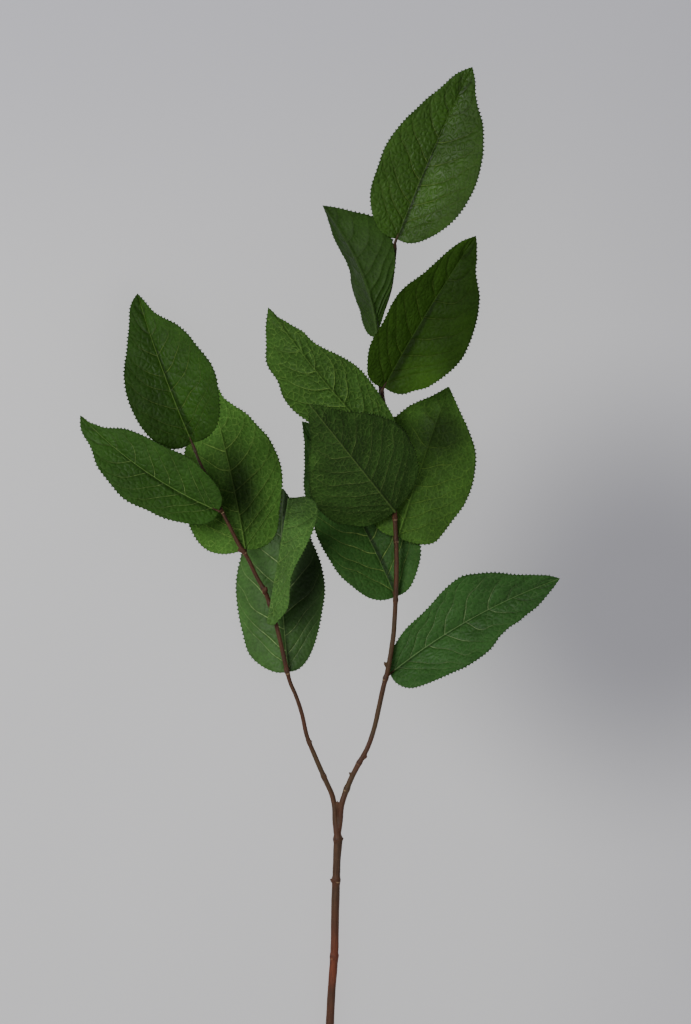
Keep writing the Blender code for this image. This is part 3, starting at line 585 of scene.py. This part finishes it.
def branch_route(stations, rings):
    """Centre line at close steps, stouter below the fork, swollen at each ring and slightly uneven."""
    line = fine_route(stations, 0.9)
    run = run_of(line[:, :3])
    below, above = -125, -105
    line[:, 3] *= np.interp(line[:, 1], (below, above), (1.05, 0.9))
    line[:, 3] *= 1 + 0.02 * np.sin(run / 5.3) + 0.015 * np.sin(run / 2.1 + 1)
    for x, y, more in rings:
        near = ring_run(line, run, x, y)
        line[:, 3] *= 1 + more * np.exp(-((run - near) / 1.3) ** 2)
        line[:, 3] *= 1 - 0.06 * np.exp(-((run - near - 2.6) / 0.8) ** 2)
    return line


def petiole_route(spec):
    """From inside the stem to a short way along the blade, under it, or over it where it bends back."""
    blade = Blade(**spec)
    way = blade.along(np.array(0.0))
    bent_back = np.dot(blade.root - blade.base, way) > 0
    lap = []
    for far in (0, 0.25, 0.6, 1.0):
        at = np.array([[PETIOLE_LAP * far, 0.0]])
        off = (0.4 + 0.1 * far) * (1 if bent_back else -1)
        radius = 0.73 - 0.38 * far
        lap.append((*(blade.place(at)[0] + blade.facing(at)[0] * off), radius))
    near = blade.base - way * min(2.3, 0.35 * np.linalg.norm(blade.base - blade.root))
    if bent_back:
        near = np.array(lap[1][:3])
        lap = lap[2:]
    middle = (blade.root + near) / 2
    return fine_route([(*blade.root, 1.0), (*middle, 0.95), (*near, 0.85)] + lap, 0.6)


def bud_route(root, lean, length, thick):
    root = np.array(root, float)
    lean = unit(np.array(lean, float))
    steps = ((0, 0.75), (0.2, 0.95), (0.35, 1), (0.5, 1), (0.62, 0.9), (0.75, 0.72), (0.87, 0.5), (1, 0.2))
    return [(*(root + lean * length * s), thick * r) for s, r in steps]


def stem_mesh(name):
    """All branches, petioles and buds grown into one skin."""
    routes = [(branch_route(MAIN, RINGS["main"]), 20), (branch_route(RIGHT, RINGS["right"]), 18)]
    routes += [(petiole_route(spec), 14) for spec in LEAVES.values()]
    routes += [(bud_route(*bud), 14) for bud in BUDS]
    points = []
    faces = []
    for route, sides in routes:
        more, round_it = tube(route, sides)
        faces += [tuple(i + len(points) for i in f) for f in round_it]
        points += more
    stem = solid(name, points, faces)
    skin = stem.modifiers.new("skin", "REMESH")
    skin.mode = "VOXEL"
    skin.voxel_size = SKIN * MM
    ease = stem.modifiers.new("ease", "SMOOTH")
    ease.factor = 0.5
    ease.iterations = 5
    bpy.context.view_layer.update()
    grown = bpy.data.meshes.new_from_object(stem.evaluated_get(bpy.context.evaluated_depsgraph_get()))
    stem.modifiers.clear()
    stem.data = grown
    grown.shade_smooth()
    mark_grain(grown, [route for route, _ in routes])
    return stem


def mark_grain(mesh, routes):
    """Marks points with their run along their branch, offset square to it and distance from a ring."""
    spots = []
    tree = kdtree.KDTree(sum(len(route) for route in routes))
    for number, route in enumerate(routes):
        route = np.asarray(route, float)
        run = run_of(route[:, :3])
        way = unit(np.gradient(route[:, :3], axis=0))
        rings = [RINGS["main"], RINGS["right"]][number] if number < 2 else []
        marks = [ring_run(route, run, x, y) for x, y, _ in rings] or [NO_RING]
        for centre, along, far in zip(route[:, :3], way, run):
            tree.insert(to_row(centre), len(spots))
            spots.append((centre, along, far, min((far - mark for mark in marks), key=abs)))
    tree.balance()
    grain = np.zeros((len(mesh.vertices), 3), dtype=np.float32)
    ring = np.zeros(len(mesh.vertices), dtype=np.float32)
    for vertex in mesh.vertices:
        _, index, _ = tree.find(vertex.co)
        centre, along, far, near = spots[index]
        offset = np.array(vertex.co) / MM + (*CENTRE, 0) - centre
        ahead = float(np.dot(offset, along))
        offset -= ahead * along
        grain[vertex.index] = (far + ahead, offset[0], offset[2])
        ring[vertex.index] = near + ahead
    mesh.attributes.new("grain", "FLOAT_VECTOR", "POINT").data.foreach_set("vector", grain.ravel())
    mesh.attributes.new("ring", "FLOAT", "POINT").data.foreach_set("value", ring)


# Materials

def screen(colour):
    """Linear colour with alpha for a screen colour of 0 to 255."""
    c = np.array(colour, float) / 255
    line = np.where(c <= 0.04045, c / 12.92, ((c + 0.055) / 1.055) ** 2.4)
    return (*[float(v) for v in line], 1)


class Tree:
    """Nodes of a material or a world. A value is a number, a colour or another node's output."""

    def __init__(self, owner, shader="Principled BSDF"):
        owner.use_nodes = True
        self.owner = owner
        self.nodes = owner.node_tree.nodes
        self.links = owner.node_tree.links
        self.shader = self.nodes[shader]

    def feed(self, socket, value):
        if isinstance(value, bpy.types.NodeSocket):
            self.links.new(value, socket)
        else:
            socket.default_value = value

    def node(self, kind, *values, **settings):
        """A new node with its settings, and values for its first inputs."""
        made = self.nodes.new("ShaderNode" + kind)
        for setting, choice in settings.items():
            setattr(made, setting, choice)
        for socket, value in zip(made.inputs, values):
            self.feed(socket, value)
        return made

    def math(self, operation, *values):
        return self.node("Math", *values, operation=operation).outputs[0]

    def times(self, product, *others):
        for other in others:
            product = self.math("MULTIPLY", product, other)
        return product

    def tint(self, colour, by):
        """A colour made lighter or darker by a factor."""
        return self.mix(1.0, colour, self.vector(by, by, by), "MULTIPLY")

    def band(self, value, low, high, at_low=0.0, at_high=1.0):
        """Smooth step of a value from at_low to at_high."""
        values = (value, low, high, at_low, at_high)
        return self.node("MapRange", *values, interpolation_type="SMOOTHSTEP").outputs[0]

    def fade(self, value, low, high, at_high=0.0):
        """Smooth step down from 1."""
        return self.band(value, low, high, 1.0, at_high)

    def mix(self, share, a, b, kind="MIX"):
        node = self.node("Mix", share, data_type="RGBA", blend_type=kind)
        self.feed(node.inputs[6], a)
        self.feed(node.inputs[7], b)
        return node.outputs[2]

    def noise(self, at, scale, detail=3.0, rough=0.5):
        node = self.node("TexNoise", at)
        node.inputs["Scale"].default_value = scale
        node.inputs["Detail"].default_value = detail
        node.inputs["Roughness"].default_value = rough
        return node.outputs[0]

    def cells(self, at, scale):
        """Distance to the nearest edge of a flat net of cells."""
        node = self.node("TexVoronoi", at, feature="DISTANCE_TO_EDGE", voronoi_dimensions="2D")
        node.inputs["Scale"].default_value = scale
        return node.outputs["Distance"]

    def vector(self, x, y, z):
        return self.node("CombineXYZ", x, y, z).outputs[0]

    def length(self, at):
        return self.node("VectorMath", at, operation="LENGTH").outputs["Value"]

    def parts(self, at):
        return self.node("SeparateXYZ", at).outputs

    def place(self, kind="Object"):
        return self.node("TexCoord").outputs[kind]

    def attribute(self, name, kind="Vector"):
        return self.node("Attribute", attribute_name=name).outputs[kind]

    def surface(self, colour, rough, sheen):
        self.feed(self.shader.inputs["Base Color"], colour)
        self.feed(self.shader.inputs["Roughness"], rough)
        self.shader.inputs["Specular IOR Level"].default_value = sheen

    def bump(self, height, distance, strength):
        node = self.node("Bump")
        node.inputs["Distance"].default_value = distance
        node.inputs["Strength"].default_value = strength
        self.links.new(height, node.inputs["Height"])
        self.links.new(node.outputs[0], self.shader.inputs["Normal"])


def leaf_veins(tree, look, raised, phase, out, t, reach, place):
    """Painted shade along the side veins, all ribs as lines, and the lines as plain as they show."""
    broken = tree.band(tree.noise(place, 420.0, 2.0), 0.35, 0.6, 0.45, 1.0)
    away = tree.math("PINGPONG", phase, 0.5)
    # Painted shade along each side vein.
    painted_vein_shade = tree.times(tree.fade(away, 0.015, 0.085), tree.fade(reach, 0.55, 1.0, 0.2))
    lateral = tree.times(tree.fade(away, 0.009, 0.038), tree.fade(reach, 0.35, 1.0, 0.4), broken,
                         tree.fade(t, 0.55, 0.85, 0.15))
    half_thick = tree.band(t, 0.0, 0.9, 0.48 if raised else 0.36, 0.25)
    midrib = tree.fade(tree.math("DIVIDE", out, half_thick), 0.4, 1.0)
    lines = tree.math("MAXIMUM", midrib, lateral)
    plain = tree.math("MAXIMUM", tree.times(midrib, look["mid"]), tree.times(lateral, look["side"]))
    return painted_vein_shade, lines, plain


def leaf_net(tree, raised, number, along, across, place):
    """Distance to the nearest line of the net between the side veins, and its lines with a finer net."""
    shift = tree.times(tree.noise(place, 230.0, 1.0), 0.8)
    other = tree.times(tree.noise(tree.vector(across, along, 7.0), 0.23, 1.0), 0.8)
    net_x = tree.math("ADD", tree.times(along, 0.31), shift)
    net_y = tree.math("ADD", tree.times(across, 0.37), other)
    net_at = tree.vector(net_x, tree.math("ADD", net_y, 31.0 * number), 0.0)
    net = tree.cells(net_at, 1.0)
    here_and_there = tree.band(tree.noise(place, 300.0, 2.0), 0.4, 0.6, 0.15, 1.0)
    net_line = tree.times(tree.fade(net, 0.01, 0.1 if raised else 0.08), here_and_there)
    finer = tree.fade(tree.cells(net_at, 2.4), 0.0, 0.1)
    return net, tree.math("MAXIMUM", net_line, tree.times(finer, 0.4))


def leaf_look(name, look, raised, number, length):
    """Waxy green blade with pale veins, a fine net, uneven colour and painted light and shade; raised is 1
    on the underside.
    """
    tree = Tree(bpy.data.materials.new(name))
    phase, along, across = tree.parts(tree.attribute("vein"))
    reach = tree.attribute("reach", "Fac")
    place = tree.place()
    out = tree.math("ABSOLUTE", across)
    t = tree.math("DIVIDE", along, length)
    painted_vein_shade, lines, plain = leaf_veins(tree, look, raised, phase, out, t, reach, place)
    net, small = leaf_net(tree, raised, number, along, across, place)

    patches = tree.band(tree.noise(place, 45.0), 0.3, 0.7)
    mottle = tree.band(tree.noise(place, 700.0, 2.0), 0.3, 0.7)
    base = screen(look["blade"])
    darker, lighter = ((*(by * c for c in base[:3]), 1) for by in (0.78, 1.2))
    colour = tree.mix(patches, darker, lighter)
    colour = tree.mix(tree.times(mottle, 0.25), colour, base)
    # Painted shade along the side veins.
    colour = tree.tint(colour, tree.fade(painted_vein_shade, 0.0, 1.0, 0.78 if raised else 0.62))
    # Painted shade between the net's cells: on the upper face the valleys are darker; on the underside the
    # raised net is lighter and the pits between are darker.
    deep = 0.07 * look["puff"]
    if raised:
        painted_cell_shade = tree.band(net, 0.03, 0.34, 1 + 0.4 * deep, 1 - deep)
    else:
        painted_cell_shade = tree.band(net, 0.0, 0.1, 1 - 4 * deep, 1.0)
    uneven = 0.12 if raised else 0.06
    grain = tree.band(tree.noise(place, 1300.0, 2.0), 0.3, 0.7, 1 - uneven, 1 + uneven)
    colour = tree.tint(colour, tree.times(painted_cell_shade, grain, tree.band(mottle, 0.0, 1.0, 0.9, 1.1)))
    pale = tree.math("MAXIMUM", plain, tree.times(small, look["net"]))
    colour = tree.mix(pale, colour, screen(look["veins"]))
    # Painted light and shade of each leaf.
    colour = tree.tint(colour, leaf_painted_light(tree, look, across, t, reach))
    rough = tree.band(tree.noise(place, 120.0), 0.25, 0.75, look["rough"] - 0.05, look["rough"] + 0.08)
    rough = tree.math("ADD", rough, tree.band(reach, 0.35, 1.0, 0.0, 0.2))
    tree.surface(colour, rough, look["sheen"])

    dome = tree.band(net, 0.0, 0.4)
    if raised:
        ribs = tree.math("MAXIMUM", lines, tree.times(small, 0.6))
        height = tree.math("SUBTRACT", tree.times(ribs, 0.6), tree.times(dome, 0.6))
    else:
        height = tree.math("SUBTRACT", dome, tree.times(lines, 0.5))
    height = tree.math("ADD", height, tree.times(mottle, 0.06))
    tree.bump(height, 0.5 * MM, 0.65 * look["puff"])
    return tree.owner


def leaf_painted_light(tree, look, across, t, reach):
    """Painted light and shade on the blade: on each half and along it, darker at its margin, painted
    shade in the crease along its midrib, and a soft patch of painted shadow or painted highlight.
    """
    left, right = look["halves"]
    base, middle, tip = look["ends"]
    wide, light = look["band"]
    # Painted light and shade on each half and along the blade; darker at the margin.
    tone = tree.times(tree.band(across, -2.0, 2.0, left, right), tree.band(t, 0.05, 0.5, base, middle),
                      tree.fade(t, 0.5, 0.95, tip / middle), tree.fade(reach, 0.95, 1.0, 0.55))
    # Painted shade in the crease along the midrib.
    far = tree.band(t, 0.0, 0.9, wide, wide * 0.25)
    its_side = tree.math("DIVIDE", across, math.copysign(1, wide))
    painted_crease_shade = tree.times(
        tree.fade(tree.math("DIVIDE", across, far), 0.3, 1.0), tree.band(its_side, 0.1, 0.4),
        tree.fade(t, 0.45, 0.85, 0.1), tree.band(t, -0.05, min(0.02 * abs(wide), 0.25)))
    # A soft patch of painted shadow, or of painted highlight where it is lighter than 1.
    share, side, long, broad, shade = look["blot"]
    off = tree.vector(tree.math("DIVIDE", tree.math("SUBTRACT", t, share), long),
                      tree.math("DIVIDE", tree.math("SUBTRACT", across, side), broad), 0.0)
    blot = tree.band(tree.length(off), 0.1, 1.0, shade, 1.0)
    return tree.times(tone, tree.fade(painted_crease_shade, 0.0, 1.0, light), blot)


def bark_look():
    """Thin reddish brown bark, streaked along its length, scarred at rings, with painted shade in a crease
    next to each ring, and darker towards the tips.

    y is in metres from the middle of the branch.
    """
    tree = Tree(bpy.data.materials.new("bark"))
    place = tree.place()
    y = tree.parts(place)[1]
    run, side, up = tree.parts(tree.attribute("grain"))
    ring = tree.attribute("ring", "Fac")
    long_at = tree.vector(tree.times(run, 0.1), side, up)
    streaks = tree.band(tree.noise(long_at, 1.3, 4.0, 0.6), 0.35, 0.65)
    patches = tree.band(tree.noise(place, 60.0), 0.4, 0.6)
    low = tree.mix(streaks, screen((56, 39, 25)), screen((80, 56, 38)))
    high = tree.mix(streaks, screen((44, 28, 17)), screen((74, 48, 31)))
    far = tree.mix(streaks, screen((32, 19, 13)), screen((58, 36, 25)))
    colour = tree.mix(tree.band(y, -0.12, 0.0), low, high)
    colour = tree.mix(tree.band(y, 0.02, 0.08), colour, far)
    red = tree.mix(streaks, screen((84, 40, 24)), screen((116, 56, 34)))
    reddened = tree.times(tree.band(y, -0.218, -0.204), tree.band(y, -0.194, -0.17, 0.85, 0.0))
    colour = tree.mix(reddened, colour, red)
    patched = tree.times(patches, tree.band(y, 0.0, 0.08, 0.45, 0.15))
    olive = tree.band(tree.noise(place, 38.0, 2.0), 0.52, 0.66)
    specks = tree.band(tree.noise(place, 1600.0, 1.0), 0.68, 0.74)
    broken = tree.band(tree.noise(place, 500.0, 2.0), 0.4, 0.6)
    at_ring = tree.math("ABSOLUTE", tree.math("ADD", ring, 1.1))
    scar = tree.times(tree.band(at_ring, 0.1, 0.4, 0.8, 0.0), broken)
    # Painted shade in a crease next to each ring.
    from_groove = tree.math("ABSOLUTE", tree.math("SUBTRACT", ring, 0.2))
    painted_ring_shade = tree.band(from_groove, 0.2, 1.0, 0.35, 0.0)
    for share, over in (
            (patched, (82, 43, 28)), (tree.times(olive, 0.4), (70, 60, 36)),
            (tree.times(specks, 0.3), (128, 104, 78)), (painted_ring_shade, (50, 30, 20)), (scar, (150, 128, 96))):
        colour = tree.mix(share, colour, screen(over))
    tree.surface(colour, tree.band(streaks, 0.0, 1.0, 0.5, 0.66), 0.25)
    height = tree.math("ADD", streaks, tree.times(specks, 0.6))
    height = tree.math("SUBTRACT", height, tree.times(scar, 0.8))
    tree.bump(height, 0.12 * MM, 0.5)
    return tree.owner


def cut_look():
    """Pale, finely mottled wood of the cut end of the stem."""
    tree = Tree(bpy.data.materials.new("cut_wood"))
    place = tree.place()
    grain = tree.band(tree.noise(place, 1500.0), 0.35, 0.65)
    colour = tree.mix(grain, screen((150, 128, 92)), screen((188, 166, 126)))
    tree.surface(colour, 0.7, 0.5)
    tree.bump(grain, 0.1 * MM, 0.4)
    return tree.owner


def table_look():
    """Pale grey matt table with painted shade: a little darker towards the right and the top, and a soft
    round painted shadow.
    """
    tree = Tree(bpy.data.materials.new("pale_table"))
    place = tree.place()
    x, y, _ = tree.parts(place)
    cloud = tree.band(tree.noise(place, 3.0), 0.3, 0.7)
    colour = tree.mix(cloud, screen((210, 209, 210)), screen((214, 213, 214)))
    # Painted shade: darker towards the top and the right, where less light falls.
    colour = tree.mix(tree.band(y, 0.12, 0.33, 0.0, 0.85), colour, screen((190, 189, 197)))
    colour = tree.mix(tree.band(x, 0.08, 0.24, 0.0, 0.5), colour, screen((184, 183, 191)))
    # A soft round painted shadow to the right of the branch.
    spot_x, spot_y = 0.171, -0.006
    from_painted_shadow = tree.vector(tree.math("SUBTRACT", x, spot_x), tree.math("SUBTRACT", y, spot_y), 0.0)
    spot = tree.band(tree.length(from_painted_shadow), 0.025, 0.15, 0.85, 0.0)
    colour = tree.mix(spot, colour, screen((140, 139, 146)))
    tree.surface(colour, 0.85, 0.2)
    tree.bump(tree.noise(place, 900.0, 2.0), 0.1 * MM, 0.15)
    return tree.owner


# Scene

def camera():
    """Camera that looks straight down."""
    lens = bpy.data.cameras.new("camera")
    lens.sensor_fit = "VERTICAL"
    lens.sensor_height = SENSOR
    lens.lens = LENS
    lens.clip_start = 0.01
    lens.clip_end = 20
    taken = bpy.data.objects.new("camera", lens)
    taken.location = np.array(CAMERA_AT) * MM
    bpy.context.scene.collection.objects.link(taken)
    bpy.context.scene.camera = taken


def lamp(name, at, size, power, lit, shading):
    """Square soft light that faces the middle of the branch, on the lit collection, shaded by another."""
    light = bpy.data.lights.new(name, "AREA")
    light.shape = "SQUARE"
    light.size = size
    light.energy = power
    made = bpy.data.objects.new(name, light)
    made.location = at
    made.rotation_euler = (-made.location).to_track_quat("-Z", "Y").to_euler()
    made.light_linking.receiver_collection = lit
    made.light_linking.blocker_collection = shading
    bpy.context.scene.collection.objects.link(made)


def surround():
    """Pale studio, bright round the sides and dim overhead, so that the leaves keep their colour."""
    tree = Tree(bpy.data.worlds.new("surround"), "Background")
    bpy.context.scene.world = tree.owner
    up = tree.parts(tree.place("Generated"))[2]
    tree.feed(tree.shader.inputs["Strength"], tree.band(up, 0.1, 0.9, 0.4, 0.1))
    tree.feed(tree.shader.inputs["Color"], (0.95, 0.97, 1, 1))


def studio():
    """Pale floor under a big soft light from the left and a weak one from the lower right.

    The floor gets its light unshaded, as a far backdrop does, and UNSHADING leaves cast no shadow.
    """
    bpy.ops.mesh.primitive_plane_add(size=8, location=(0, 0, 0))
    floor = bpy.context.object
    floor.name = "pale_table_top"
    floor.data.materials.append(table_look())
    ground = collection("ground", [floor])
    branch = collection("branch", [])
    shading = collection("shading", [])
    for name, (at, size, power) in LAMPS.items():
        lamp(name, at, size, power, branch, shading)
        lamp(name + "_ground", at, size, power, ground, ground)
    surround()
    return branch, shading


def collection(name, members):
    made = bpy.data.collections.new(name)
    bpy.context.scene.collection.children.link(made)
    for member in members:
        made.objects.link(member)
    return made


def dress_leaves(branch, shading):
    for number, (name, spec) in enumerate(LEAVES.items()):
        seen_under = int(np.mean(spec["roll"]) > 90)
        looks = [UPPER, UNDER]
        looks[seen_under] = {**looks[seen_under], **SHOWN[name]}
        leaf, length = leaf_mesh("fine_" + name, spec, number, looks[seen_under]["puff"])
        branch.objects.link(leaf)
        if name not in UNSHADING:
            shading.objects.link(leaf)
        for raised, face in enumerate(("upper", "under")):
            leaf.data.materials.append(leaf_look(name + "_" + face, looks[raised], raised, number, length))
        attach(leaf, "root")
        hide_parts(name)


def dress_stem(branch, shading):
    stem = stem_mesh("fine_stem")
    branch.objects.link(stem)
    shading.objects.link(stem)
    stem.data.materials.append(bark_look())
    stem.data.materials.append(cut_look())
    cut_wood, near_cut, square_on = 1, (MAIN[0][1] - CENTRE[1] + 0.25) * MM, -0.7
    for face in stem.data.polygons:
        if face.center.y < near_cut and face.normal.y < square_on:
            face.material_index = cut_wood
    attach(stem, "root")
    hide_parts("stem")


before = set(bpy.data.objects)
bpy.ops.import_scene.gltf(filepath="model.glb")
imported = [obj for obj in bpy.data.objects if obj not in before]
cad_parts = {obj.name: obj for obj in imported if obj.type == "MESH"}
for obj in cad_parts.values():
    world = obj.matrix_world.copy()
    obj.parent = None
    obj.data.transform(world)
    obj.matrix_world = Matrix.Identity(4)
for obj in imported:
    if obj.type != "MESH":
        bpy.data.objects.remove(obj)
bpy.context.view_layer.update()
camera()
branch, shading = studio()
dress_leaves(branch, shading)
dress_stem(branch, shading)
